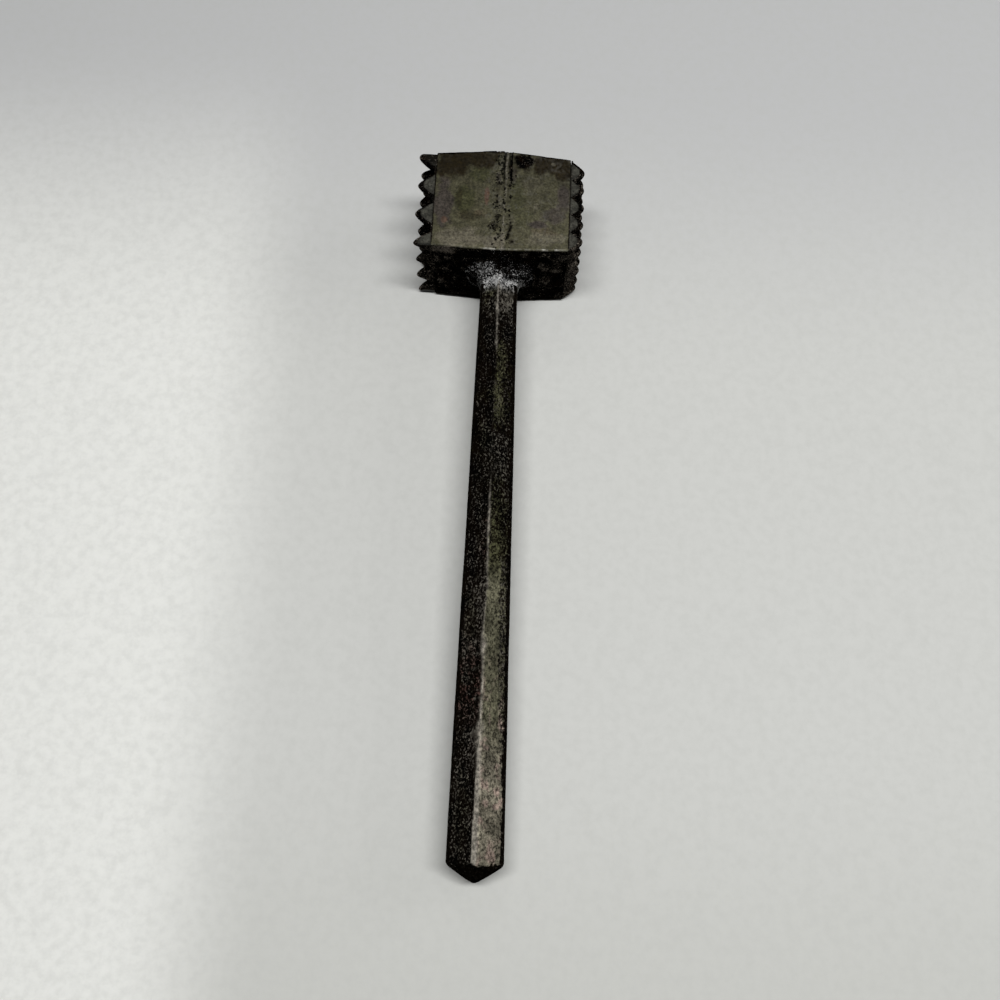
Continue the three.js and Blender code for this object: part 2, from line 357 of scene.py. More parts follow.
def seam_height(grid):
    """Height of the seam's marks at each point, with the masks of bare metal and of dirt: a thin raised
    line where the halves met, a crack on each side of it at the far end, a shorter crack at the near
    end, and the pits."""
    across, along = grid[..., 0], unrolled(grid)
    pits = pit_depth(across, along, lattice_noise(grid, 0.5, 51))
    line = lap_line(along)
    broken = smooth(-0.4, 0.3, lattice_noise(grid, 2.5, 52))
    ragged = 0.3 * lattice_noise(grid, 1.1, 53)
    far_end = smooth(5, 11, along) * smooth(75, 50, along)
    near_end = smooth(-8.5, -10, along) * smooth(-18, -16, along)
    ridge = hump(across, line, 0.3) * (0.2 + 0.8 * np.maximum(broken, far_end))
    crack = hump(across + ragged, line - 0.85, 0.42) * (0.3 * broken + 0.95 * far_end)
    second = hump(across + ragged, 2.3 + 0.08 * (17 - along), 0.36) * far_end * (0.35 + 0.65 * broken)
    third = hump(across + ragged, 3.8 + 0.2 * (10 + along), 0.35) * near_end
    faint = hump(across - ragged, -1.9, 0.3) * smooth(-6, -4, along) * smooth(3, 0, along)
    cracks = np.clip(crack + second + 0.8 * third + 0.4 * faint, 0, 1)
    step = 0.42 * far_end * smooth(line - 0.6, line - 0.2, across)
    height = 0.12 * ridge - 0.36 * cracks - 0.42 * pits - step
    return height, ridge * (1 - cracks), np.clip(1.1 * pits + 0.9 * cracks, 0, 1)


def hollow(grid):
    """The low spot at the far edge beside the seam that grinding never reached: 1 in it, 0 outside."""
    x, y, z = np.moveaxis(grid, -1, 0)
    d = np.hypot((x - HOLLOW_AT[0]) / HOLLOW_HALF[0], (y - HOLLOW_AT[1]) / HOLLOW_HALF[1])
    return smooth(1.15, 0.7, d + 0.45 * fractal(grid, 2, 55)) * (z > 0)


# The head

# Stains seen on the upper side, as ovals: x, y, half width, half depth, strength
STAINS = {
    "green": ((-14, 0.5, 4.5, 6, 0.9), (-9, 11, 4.5, 4, 0.8), (5.5, 3, 3.5, 8, 0.7), (8, -7, 4, 5, 0.5)),
    "lilac": ((-22.5, -2, 4, 11, 0.9), (23, 3, 3, 9, 0.9), (20, -6, 5, 4, 0.7), (14, -10, 4.5, 1.6, 1),
              (3.6, 11, 1.8, 4, 0.6), (-1.8, 9.5, 1.4, 3, 0.6)),
    "brown": ((-19.5, 15.5, 8, 6, 1), (-10, 17.5, 8, 4.5, 0.9), (-12, -7.5, 6, 2.6, 0.5),
              (18.5, 17, 9.5, 5.2, 1), (22.5, 13, 3.5, 4, 1), (3, 14, 3, 5, 0.5), (-16.5, 1, 1.3, 5, 0.5),
              (-3, -11.5, 2, 2, 0.5), (20, -13.5, 2.5, 1.5, 0.4), (13, -15.5, 2.5, 1, 0.4),
              (4.5, -18, 2, 1.5, 0.5), (-3, 21, 5, 1.5, 0.8), (-1.7, 3, 1.1, 9, 0.45),
              (2.4, 3, 0.9, 7, 0.35), (-1.8, -10, 1.3, 5, 0.4), (2.8, -13, 1.2, 4, 0.4)),
    "pink": ((-5.9, 1.8, 1, 4.2, 0.9), (-21.5, -9.3, 1.3, 1.5, 0.7), (-8, -6, 3, 2, 0.3),
             (17, -13, 6, 2.5, 0.35)),
    "tan": ((-15, -16.5, 12, 3.8, 0.9), (-3.5, -18, 4, 3, 0.9), (17, -16, 8, 3.8, 0.6),
            (0.8, -17.5, 1.3, 4.5, 1), (11, 7.5, 5, 3.5, 0.4), (-0.8, 0, 1.2, 5, 0.4),
            (13, -2, 1.5, 1.5, 0.5), (19, 17, 1.2, 1, 0.8)),
}
# Bright grains seen on the near side and its root weld: x, z, half width, half height, strength
NEAR_GRAINS = (
    (-21, 17.5, 6, 3, 0.78), (-24, 9.5, 1.5, 2.5, 0.5), (-20, 11, 1.5, 1.5, 0.45), (-26, 4, 1.5, 3, 0.35),
    (-23, -8, 1.5, 3, 0.38), (-17.5, -5, 1, 1.5, 0.3), (-21, 2, 1.5, 3, 0.25), (17.5, 6, 1.5, 2.5, 0.45),
    (16, 9, 1, 2, 0.36), (22, 4.5, 2.5, 2, 0.42), (13, -2, 1.6, 5, 0.38), (18, -3, 3, 4, 0.36),
    (9.5, 17, 1.5, 2, 0.3), (17, 17, 2.5, 2, 0.33), (23, 13, 3, 6, 0.36), (24, -17, 2, 2, 0.35),
    (14, -16, 2, 2, 0.28), (-3, -5, 4.6, 6.5, 1), (3.5, -4.5, 4.6, 5, 0.85), (0, -1, 3, 4, 0.75),
    (-5.5, 3, 3.8, 6, 0.4), (-7.5, 8, 2.2, 3, 0.34), (-4, 9, 2.6, 3, 0.32), (-13.5, 3.2, 1.6, 1.6, 0.4),
    (-10.5, 6, 2, 2, 0.35), (4, 7.5, 2, 3, 0.2), (6.5, 4, 2, 2.5, 0.2), (9, 3, 2, 3, 0.24),
    (7.5, -3, 2.5, 3, 0.38), (2.5, 2.5, 2, 3, 0.24), (9.5, -6, 2, 2, 0.4), (-7.5, -3, 1.5, 4, 0.4),
)


def half_depth(x):
    """Half the head's depth along the handle at each x: it tapers from the seam to the tooth planes."""
    return SEAM_HALF_DEPTH - DRAFT_DEPTH * np.maximum(np.abs(x) - BEAD_WIDTH / 2, 0) / TAPER_LENGTH


def stains(grid):
    """The masks of the stains; the lower side has those of the upper side turned about Y."""
    x, y = grid[..., 0] * np.where(grid[..., 2] > 0, 1, -1), grid[..., 1]
    wobble = 0.5 * fractal(grid, 3.2, 64)
    return {name: ovals(x, y, wobble, rows) for name, rows in STAINS.items()}


def near_grain(grid, height):
    """How thickly bright grains lie on the near side, at the given height there."""
    return ovals(grid[..., 0], height, 0.4 * fractal(grid, 1.6, 65), NEAR_GRAINS)


def head_marks(grid, normal):
    """Masks of the head's metal: ground on its upper and lower sides and round their near edges, raw skin
    elsewhere, with a band of black skin along the far rims as painted shade, rubbed along the near
    edges with a painted highlight, stained on the ground sides and grainy on the near side."""
    up = np.abs(normal[..., 2])
    fringe = lattice_noise(grid, 0.9, 61) * 0.12 + lattice_noise(grid, 4, 62) * 0.1
    # Painted shade: the patina stops short of the far rim and its rounding, leaving a band of black skin
    # there; round the near edges it reaches further
    start = np.where(normal[..., 1] < 0, 0.3, 0.8)
    far_rim = half_depth(grid[..., 0]) - grid[..., 1]
    ground = smooth(start, start + 0.15, up + fringe * (up < 0.995)) * (1 - hollow(grid))
    ground = ground * smooth(0.6, 1.3, far_rim + 3 * fringe)
    spots = 0.3 + 0.7 * smooth(-0.1, 0.5, lattice_noise(grid, 2.2, 63))
    # The rubbed near edge, partly worn metal and partly a painted highlight along its rounding
    edge = hump(normal[..., 1], -0.55, 0.35) * spots * (0.3 + 0.7 * smooth(-10, -5, grid[..., 0]))
    near = smooth(-SEAM_HALF_DEPTH + 5, -SEAM_HALF_DEPTH + 3, grid[..., 1])
    grain = near * near_grain(grid, grid[..., 2])
    return {"ground": ground, "edge": edge, "grain": grain, "grey": grey_sides(normal), **stains(grid)}


def head_relief(grid, normal):
    """How far the head's metal stands out: long low waves and nicked edges everywhere, and the coarse
    grain of the casting skin on the near and far sides."""
    skin = normal[..., 1] ** 2
    waves = 0.05 * lattice_noise(grid, 11, 1) + 0.012 * fractal(grid, 2, 2)
    grain = 0.09 * fractal(grid, 1.4, 3) + 0.1 * lattice_noise(grid, 5, 4)
    nicks = hump(normal[..., 1] ** 2, 0.5, 0.35) * smooth(0.45, 0.95, lattice_noise(grid, 2.3, 5))
    return waves + skin * grain - 0.3 * nicks - 0.4 * hollow(grid) * (normal[..., 2] > 0.5)


def head_profile():
    """Stations of a head half from its pocket to the seam groove, as rows of x, half depth, half height
    and corner radius: the pocket's wall, a rounded lip and rim, the tapered side and the groove."""
    pocket = PLATE_SIDE / 2 + SEAT_GAP
    quarter = np.linspace(0, math.pi / 2, 6)
    wall = [(FACE_X - depth, pocket, pocket, 0.3) for depth in (PLATE_SEAT + SEAT_GAP, 1.2, 0.5)]
    inner = []
    for a in quarter:
        mouth = pocket + POCKET_LIP * (1 - math.cos(a))
        inner.append((FACE_X - POCKET_LIP * (1 - math.sin(a)), mouth, mouth, 0.4))
    outer = [(FACE_X - FACE_EDGE * (1 - math.cos(a)), FACE_EDGE * (1 - math.sin(a))) for a in quarter]
    side_x = np.linspace(FACE_X - FACE_EDGE, BEAD_WIDTH / 2 + 0.05, 92)[1:]
    side = [(x, 0) for x in (*side_x, BEAD_WIDTH / 2 + 0.02)]
    sides = []
    for x, inset in outer + side:
        share = (FACE_X - x) / TAPER_LENGTH
        sides.append((x, FACE_HALF_DEPTH + DRAFT_DEPTH * share - inset,
                      FACE_HALF_HEIGHT + DRAFT_HEIGHT * share - inset, HEAD_ROUNDING - 0.5 * inset))
    floor_depth, floor_height = SEAM_HALF_DEPTH - BEAD_DEPTH, SEAM_HALF_HEIGHT - BEAD_DEPTH
    groove = [(BEAD_WIDTH / 2 - (BEAD_WIDTH - BEAD_ROOT) / 2 * part, SEAM_HALF_DEPTH - BEAD_DEPTH * part,
               SEAM_HALF_HEIGHT - BEAD_DEPTH * part, HEAD_ROUNDING) for part in (0.1, 0.4, 1)]
    inside = [(SEAT_GAP / 2, floor_depth, floor_height, HEAD_ROUNDING)]
    return np.array(wall + inner + sides + groove + inside)


def head_half(side):
    """One half of the head: a rounded rectangle carried along the profile, with the relief and the
    seam's marks."""
    x, half_y, half_z, radius = head_profile().T
    section = rounded_rectangle(half_y, half_z, radius, 140, 8)
    across = np.broadcast_to(x[:, None], section.shape[:2])
    grid = np.stack([across, section[..., 0], section[..., 1]], -1)[::-1]
    if side < 0:
        grid = (grid * (-1, 1, 1))[::-1]
    normal = normals(grid)
    depth = np.abs(grid[..., 0])
    outside = smooth(BEAD_WIDTH / 2 - 0.3, BEAD_WIDTH / 2, depth) * smooth(0, 0.5, FACE_X - depth + 0.4)
    seam, bare, dirt = seam_height(grid)
    by_seam = smooth(6.5, 5, depth) if side < 0 else 1
    height = head_relief(grid, normal) + seam * by_seam
    marks = {**head_marks(grid, normal), "dirt": dirt * by_seam, "bare": bare * by_seam}
    return raised(grid, height * outside), marks


# Teeth

# How far each field of teeth was cast off the middle of its plate, along Y and Z
COARSE_MIDDLE = (-0.3, -0.5)
FINE_MIDDLE = (-0.5, -0.3)


def tooth_field(y, z, columns, rows, pitch, base, height, blunt, seed):
    """Height of a toothed face at each point: the highest of its square pyramids. A pyramid falls from
    its tip as sqrt(d^2 + blunt^2), d being the distance measured along a rounded square, so that its
    tip is round and its flanks are straight."""
    rng = np.random.default_rng(seed)
    total = np.zeros(y.shape)
    for column, row in itertools.product(range(columns), range(rows)):
        shift_y, shift_z = rng.normal(0, 0.12, 2)
        tall = height * (1 - abs(rng.normal(0, 0.03)))
        tip = blunt * rng.uniform(0.75, 1.3)
        dy = np.abs(y - (column - (columns - 1) / 2) * pitch - shift_y)
        dz = np.abs(z - (row - (rows - 1) / 2) * pitch - shift_z)
        away = (dy ** 4 + dz ** 4 + 1e-9) ** (1 / 4)
        run = np.hypot(base / 2, tip) - tip
        total = np.maximum(total, tall * (1 - (np.hypot(away, tip) - tip) / run))
    return total


def tooth_plate(side, columns, rows, pitch, base, height, blunt, middle, seed):
    """A toothed plate as square rings: out from the middle over the teeth, over the rim's edge, back to
    the plate under the overhang, down its sides, and in behind to the stud. Both ends close to a point.
    The worn arris where the outer teeth are cut off falls away as 1 - sqrt(1 - t^2) over its last
    stretch."""
    points = 197
    half, reach = PLATE_SIDE / 2, PLATE_SIDE / 2 + TOOTH_OVERHANG
    step = np.arange(4 * (points - 1)) / (points - 1)
    leg, run = np.floor(step).astype(int), 2 * (step % 1) - 1
    one = np.ones(len(step))
    unit = np.stack([np.choose(leg, [one, -run, -one, run]), np.choose(leg, [run, one, -run, -one])], -1)
    share = np.linspace(0, 1, (points + 1) // 2)[1:, None]
    y, z = np.moveaxis(share[..., None] * unit * reach, -1, 0)
    centre_y, centre_z = side * middle[0], middle[1]
    rise = tooth_field(y - centre_y, z - centre_z, columns, rows, pitch, base, height, blunt, seed)
    worn = np.clip(1 - (1 - share) * reach / ARRIS, 0, 1)
    rise = np.maximum(rise - ARRIS * (1 - np.sqrt(1 - worn ** 2)), SEAT_GAP + PLATE_SKIN)
    face = np.stack([rise, y, z], -1)
    edge = face[-1]
    down = np.linspace(0, 1, 14)[1:, None]
    drop = down * (edge[:, 0] + RIM_BITE)
    walls = np.stack([edge[:, 0] - drop, 0 * down + edge[:, 1], 0 * down + edge[:, 2]], -1)
    flat = np.stack([0 * one, *unit.T], -1)
    under = [flat * size - (depth, 0, 0) for size, depth in (
        (half, RIM_BITE), (half, PLATE_SEAT), (STUD_SIDE / 2, PLATE_SEAT),
        (STUD_SIDE / 2, PLATE_SEAT + STUD_LENGTH))]
    grid = np.concatenate([face, walls, under])[::-1]
    below = np.zeros(grid.shape[:2])
    below[len(under):len(under) + len(walls)] = drop[::-1]
    grid[..., 0] += FACE_X
    if side < 0:
        grid = grid * (-1, -1, 1)
    out = np.abs(grid[..., 0]) - FACE_X
    grid = raised(grid, 0.05 * fractal(grid, 1.2, seed + 5) * smooth(SEAT_GAP, 1, out))
    # The cut faces have a black outline of painted shade, wider on the fine teeth, and the far coarse tooth
    # is all dark, also painted shade
    shade_outline, far_shade, near_grains = (0.6, 0, 0.38) if side > 0 else (0.25, 0.85, 0.3)
    cut = smooth(shade_outline, shade_outline + 0.6, below + 0.3 * lattice_noise(grid, 1, 71)) * smooth(-0.1, 0.4, out)
    cut = cut * (1 - far_shade * smooth(12, 16, grid[..., 1]))
    tips = smooth(0.7, 0.95, out / height + 0.15 * lattice_noise(grid, 0.8, 72))
    near = smooth(-14, -17, grid[..., 1]) * near_grains
    return grid, {"ground": cut * (np.abs(grid[..., 2]) > half), "grain": np.maximum(0.04 + 0.4 * tips, near),
                  "grey": grey_sides(normals(grid))}


# The handle

# The bare line along the upper edge, partly a painted highlight on its rounding, as rows of y, its place
# across, half width and strength
RIDGE_LINE = (
    (-21, 0, 0.4, 0.9), (-29, -0.1, 0.4, 0.9), (-39, -0.2, 0.35, 0.9), (-42, -0.1, 0.35, 0.55),
    (-54, 0, 0.3, 0.35), (-58, 0, 0.2, 0), (-106, 0, 0.2, 0.05), (-116, 0, 0.3, 0.5),
    (-128, 0, 0.36, 0.85), (-136, 0, 0.36, 0.6), (-144, 0.2, 0.4, 0.25), (-147, 0.8, 0.5, 0.45),
    (-150, 0.3, 0.3, 0.2), (-164, -0.3, 0.4, 0.5), (-167, 0, 0.8, 1), (-171, 0.1, 0.8, 1),
    (-175, 0.2, 0.45, 0.95), (-194, 0.1, 0.45, 0.95), (-197, 0.1, 1.1, 1), (-201, 0.1, 0.9, 0.9),
    (-215, 0.3, 0.7, 0.7), (-242, 0.5, 0.5, 0.5),
)
# Smooth worn metal on the upper right side, lighter there and towards the butt partly as painted light, as
# rows of y, the x it reaches and its strength
LIT_PALM = (
    (-49, 2.6, 0), (-55, 2.6, 0.25), (-66, 2.6, 0.25), (-70, 3.4, 0.2), (-77, 2.8, 0.3), (-84, 2.8, 0.25),
    (-90, 3, 0), (-106, 4.3, 0), (-118, 4.3, 0.2), (-138, 4.6, 0.36), (-146, 4.8, 0.66), (-165, 5.2, 0.8),
    (-175, 5.6, 0.9), (-195, 6.2, 1), (-212, 7.4, 1), (-220, 8.2, 1), (-245, 8.2, 1),
)
# Pink spots on that metal and greenish places on the whole bar: x, y, half width, half length, strength
PINK_SPOTS = (
    (3, -222, 1.6, 1.2, 1), (6.2, -218, 0.9, 1.3, 1), (6.4, -223, 1, 1, 1), (1.8, -201, 0.8, 0.8, 0.8),
    (5, -236, 1.5, 2, 0.5), (1.5, -211, 1, 1.2, 0.5),
)
GREEN_SPOTS = (
    (-3.2, -31, 2.5, 6, 0.9), (2.6, -61, 1.8, 10, 0.9), (-1, -74, 5, 3, 0.8), (2.6, -81, 1.8, 6, 0.8),
    (-4, -90, 2.5, 8, 0.5), (3.5, -128, 3.5, 18, 0.9), (-5, -160, 2, 8, 0.4), (-5, -225, 2.5, 12, 0.4),
)
# How thickly grains lie on the bar, as rows of y, on the left and on the right of its upper edge
BAR_GRAINS = (
    (-21, 0.8, 0.9), (-29, 0.8, 0.8), (-36, 0.5, 0.48), (-46, 0.22, 0.35), (-70, 0.22, 0.38),
    (-90, 0.34, 0.4), (-135, 0.4, 0.45), (-170, 0.48, 0.5), (-245, 0.48, 0.5),
)
# Worn spots seen on the bar: x, y, half width, half length, strength
BAR_SPOTS = (
    (2.8, -36, 2.6, 6, 0.22), (-3, -37, 2.2, 5, 0.12), (2.7, -61, 1.4, 8, 0.3), (-0.3, -72.5, 3.4, 2.4, 0.26),
    (2.6, -80, 1.7, 5, 0.3), (-3.5, -86, 1.8, 4, 0.12), (-3, -153, 2.2, 7, 0.12), (-1.6, -199, 1.3, 1, 0.5),
    (5, -223, 3, 2.5, 0.3), (6.3, -218, 1.2, 1.5, 0.3),
)
SHADED_RIM_WIDTH = 1.3


def handle_rows():
    """Stations of the bar as rows of y, half width across flats and a factor on its corner radii: the
    blunt point, the rounded shoulder and the long taper to the head."""
    shoulder = bar_half(SHOULDER_Y) - SHOULDER_ROUNDING * (1 - math.cos(SHOULDER_TURN))
    nose = [(TIP_Y + POINT_LENGTH * part ** 1.15, POINT_HALF + (shoulder - POINT_HALF) * part,
             max(part, 0.06)) for part in np.linspace(0, 1, 22)[:-1]]
    turn = []
    for angle in np.linspace(SHOULDER_TURN, 0, 9):
        y = SHOULDER_END_Y - SHOULDER_ROUNDING * math.sin(angle)
        turn.append((y, bar_half(y) - SHOULDER_ROUNDING * (1 - math.cos(angle)), 1))
    bar = [(y, bar_half(y), 1) for y in np.linspace(SHOULDER_END_Y, ROOT_Y + BAR_SINK, 440)[1:]]
    return np.array(nose + turn + bar)


def tang_rings(section):
    """The square tang and its wider foot: the hexagon's points pushed out onto rectangles."""
    angle = np.arctan2(section[:, 1], section[:, 0])
    square = 1 / np.maximum(np.abs(np.cos(angle)), np.abs(np.sin(angle)))
    x, z = square * np.sin(angle) / 2, square * np.cos(angle) * TANG_HEIGHT / 2
    end_y = ROOT_Y + TANG_LENGTH
    foot_y = end_y - FOOT_LENGTH
    places = ((ROOT_Y + TANG_START, TANG_WIDTH), (foot_y, TANG_WIDTH), (foot_y + FOOT_STEP, FOOT_WIDTH),
              (end_y, FOOT_WIDTH))
    return [np.stack([x * width, 0 * x + y, z], -1) for y, width in places]


def handle_marks(grid, along, half, over):
    """Masks of the bar's metal: the bare line and the flat on its upper edge, partly a painted highlight,
    the smooth palm beside them on the right side, partly painted light, and the grains on the rest,
    with their colours, thinned along the side corners as painted shade. Over is how deep the flat was
    worn."""
    x, upper = grid[..., 0], grid[..., 2] > 0
    ragged = lattice_noise(grid * (1, 0.5, 1), 1.3, 26)
    blade = smooth(SHOULDER_Y + 0.4, SHOULDER_Y + 1.2, along + 0.9 * ragged)
    line_x, line_half, line_strength = steps_along(along, RIDGE_LINE)
    line = line_strength * hump(x + 0.25 * ragged, line_x, line_half)
    strokes = 0.45 + 0.55 * smooth(-0.4, 0.2, lattice_noise(grid * (1, 0.5, 1), 0.9, 29))
    flat = smooth(0.04, 0.12, over + 0.03 * ragged) * smooth(0.9, 0.4, x) * 0.75
    bare = np.maximum(line * strokes, flat) * upper * blade
    # Painted shade: grains and palm fade out along the side corners, where less light falls
    shaded_rim = smooth(half[:, None] - SHADED_RIM_WIDTH - 0.4, half[:, None] - SHADED_RIM_WIDTH + 0.4, np.abs(x) + 0.3 * ragged)
    reach, smoothed = steps_along(along, LIT_PALM)
    inside = smooth(-0.3, 0.3, x - line_x) * smooth(reach + 0.7, reach - 0.7, x + 0.5 * ragged)
    lit_palm = smoothed * np.maximum(inside, 0.3 * (x > reach)) * (1 - shaded_rim) * upper * blade
    left, right = steps_along(along, BAR_GRAINS)
    spots = ovals(x, along, 0.5 * ragged, BAR_SPOTS) * upper
    patches = lattice_noise(grid * (1, 0.4, 1), 5, 27) + lattice_noise(grid * (1, 0.5, 1), 2, 28)
    cover = np.where(x < 0, left, right) + spots + 0.12 * patches
    cover = cover * (1 - 0.75 * shaded_rim) * np.where(upper, 1, 0.8) * blade
    wine = hump(along, -183, 14) * (x < 0) + hump(along, -130, 9) * hump(x, -1, 1.5)
    return {"bare": bare, "lit_palm": lit_palm, "cover": cover, "wine": wine, "root": smooth(-32, -27, along),
            "grey": grey_sides(normals(grid)), "green": ovals(x, along, 0.5 * ragged, GREEN_SPOTS),
            "pink": ovals(x, along, 0.6 * ragged, PINK_SPOTS)}


def handle():
    """The handle: hexagons lofted along its stations, with the flat worn on its upper edge, then the
    square tang and its wider foot inside the head."""
    y, half, rounding = handle_rows().T
    section = rounded_hexagon(half, RIDGE_ROUNDING * rounding, SIDE_ROUNDING * rounding, 26, 7)
    along = np.broadcast_to(y[:, None], section.shape[:2])
    grid = np.stack([section[..., 1], along, section[..., 0]], -1)
    height = 0.09 * lattice_noise(grid * (1, 0.4, 1), 9, 21) + 0.045 * fractal(grid, 2.2, 22)
    grid = raised(grid, height * smooth(TIP_Y, TIP_Y + 3, along))
    worn = WEAR_DEPTH * np.clip(1 - (along - SHOULDER_Y) / WEAR_LENGTH, 0, 1)
    uneven = 0.05 * lattice_noise(grid * (0.5, 0.3, 1), 2, 25)
    over = np.maximum(grid[..., 2] - (bar_half(along) * CORNER_REACH - worn + uneven), 0) * (worn > 0)
    grid[..., 2] -= over
    return np.concatenate([grid, tang_rings(section[0])]), handle_marks(grid, along, half, over)


# Weld metal

def seam_bead():
    """The bead: its top and its narrow root, carried round the middle of the head from above the tang
    over the upper, far and lower sides to below it."""
    depth, height = np.array([SEAM_HALF_DEPTH]), np.array([SEAM_HALF_HEIGHT])
    outer = rounded_rectangle(depth, height, HEAD_ROUNDING, 300, 12)[0]
    inner = rounded_rectangle(depth - BEAD_DEPTH, height - BEAD_DEPTH, HEAD_ROUNDING, 300, 12)[0]
    by_tang = np.abs(outer[:, 1]) < TANG_HEIGHT / 2 + SEAT_GAP
    gap = (outer[:, 0] < -SEAM_HALF_DEPTH + 0.01) & by_tang
    order = np.roll(np.arange(len(outer)), -np.argmax(gap))
    order = order[~gap[order]][::-1]
    outer, inner = outer[order], inner[order]
    lip = BEAD_WIDTH / 2 + BEAD_LAP
    top = np.concatenate([[-lip], np.linspace(0.04 - lip, lip - 0.04, 43), [lip]])
    grid = np.zeros((len(outer), len(top) + 2, 3))
    grid[..., 0] = np.concatenate([top, [BEAD_ROOT / 2, -BEAD_ROOT / 2]])
    grid[:, :-2, 1:] = outer[:, None]
    grid[:, -2:, 1:] = inner[:, None]
    straight = np.array((SEAM_HALF_DEPTH - HEAD_ROUNDING, SEAM_HALF_HEIGHT - HEAD_ROUNDING))
    centre = np.clip(outer, -straight, straight)
    away = (outer - centre) / np.linalg.norm(outer - centre, axis=-1, keepdims=True)
    normal = np.zeros(grid.shape)
    normal[..., 1:] = away[:, None]
    seam, bare, dirt = seam_height(grid)
    middle = smooth(BEAD_WIDTH / 2, BEAD_WIDTH / 2 - 0.6, np.abs(grid[..., 0]))
    rise = head_relief(grid, normal) + seam + middle * 0.05 * fractal(grid, 0.8, 31)
    rise[:, -2:] = 0
    return grid + normal * rise[..., None], {**head_marks(grid, normal), "dirt": dirt, "bare": bare}


# The grains on the root weld were placed by where they are seen on the near side, along a line of sight
# that drops this much for each millimetre towards the viewer
SIGHT_SLOPE = 1.62


def root_fillet():
    """The fillet: the bar's section set out by a quarter circle that runs from the bar to the head's
    near face, lumpy like weld metal, and closed behind by the bar's own section."""
    angle = np.linspace(0, math.pi / 2, 44)
    y = ROOT_Y - FILLET_RADIUS * (1 - np.sin(angle))
    out = FILLET_RADIUS * (1 - np.cos(angle))
    section = rounded_hexagon(bar_half(y) + out, RIDGE_ROUNDING + out, SIDE_ROUNDING + out, 20, 22)
    along = np.broadcast_to(y[:, None], section.shape[:2])
    grid = np.stack([section[..., 1], along, section[..., 0]], -1)
    share = np.broadcast_to((out / FILLET_RADIUS)[:, None], section.shape[:2])
    lumps = 0.22 * fractal(grid, 1.7, 41) + 0.3 * lattice_noise(grid, 4.5, 42)
    grid = raised(grid, lumps * smooth(0, 0.12, share))
    lean = SEAM_HALF_DEPTH - half_depth(grid[..., 0]) - HEAD_SKEW * grid[..., 0]
    grid[..., 1] += smooth(0.6, 1, share) * lean
    back = grid[-1] + (0, FILLET_SINK, 0)
    bore = np.array([bar_half(ROOT_Y) - FILLET_BITE])
    bar = rounded_hexagon(bore, RIDGE_ROUNDING, SIDE_ROUNDING, 20, 22)[0]
    near = np.stack([bar[:, 1], 0 * bar[:, 0] + ROOT_Y + FILLET_SINK, bar[:, 0]], -1)
    far = near * (1, 0, 1) + (0, y[0], 0)
    seen_height = np.abs(grid[..., 2]) + (grid[..., 1] - ROOT_Y) * SIGHT_SLOPE
    grain = near_grain(grid, seen_height) * (0.78 + 0.22 * smooth(0.05, 0.25, share))
    return np.concatenate([grid, [back, near, far]]), {"grain": grain, "grey": grey_sides(normals(grid))}


# Shader maths

class Socket:
    """An output in a material's node tree. Arithmetic on it adds Math nodes."""

    def __init__(self, finish, output):
        self.finish = finish
        self.output = output

    def __add__(self, other):
        return self.finish.math("ADD", self, other)

    def __sub__(self, other):
        return self.finish.math("SUBTRACT", self, other)

    def __rsub__(self, other):
        return self.finish.math("SUBTRACT", other, self)

    def __mul__(self, other):
        return self.finish.math("MULTIPLY", self, other)

    __radd__ = __add__

    def most(self, other):
        return self.finish.math("MAXIMUM", self, other)

    def step(self, low, high):
        """0 below low, 1 above high, smooth between; it falls where low is the higher number."""
        if low > high:
            return 1 - self.step(high, low)
        values = {"Value": self, "From Min": low, "From Max": high}
        return self.finish.node("MapRange", {"interpolation_type": "SMOOTHSTEP"}, values)


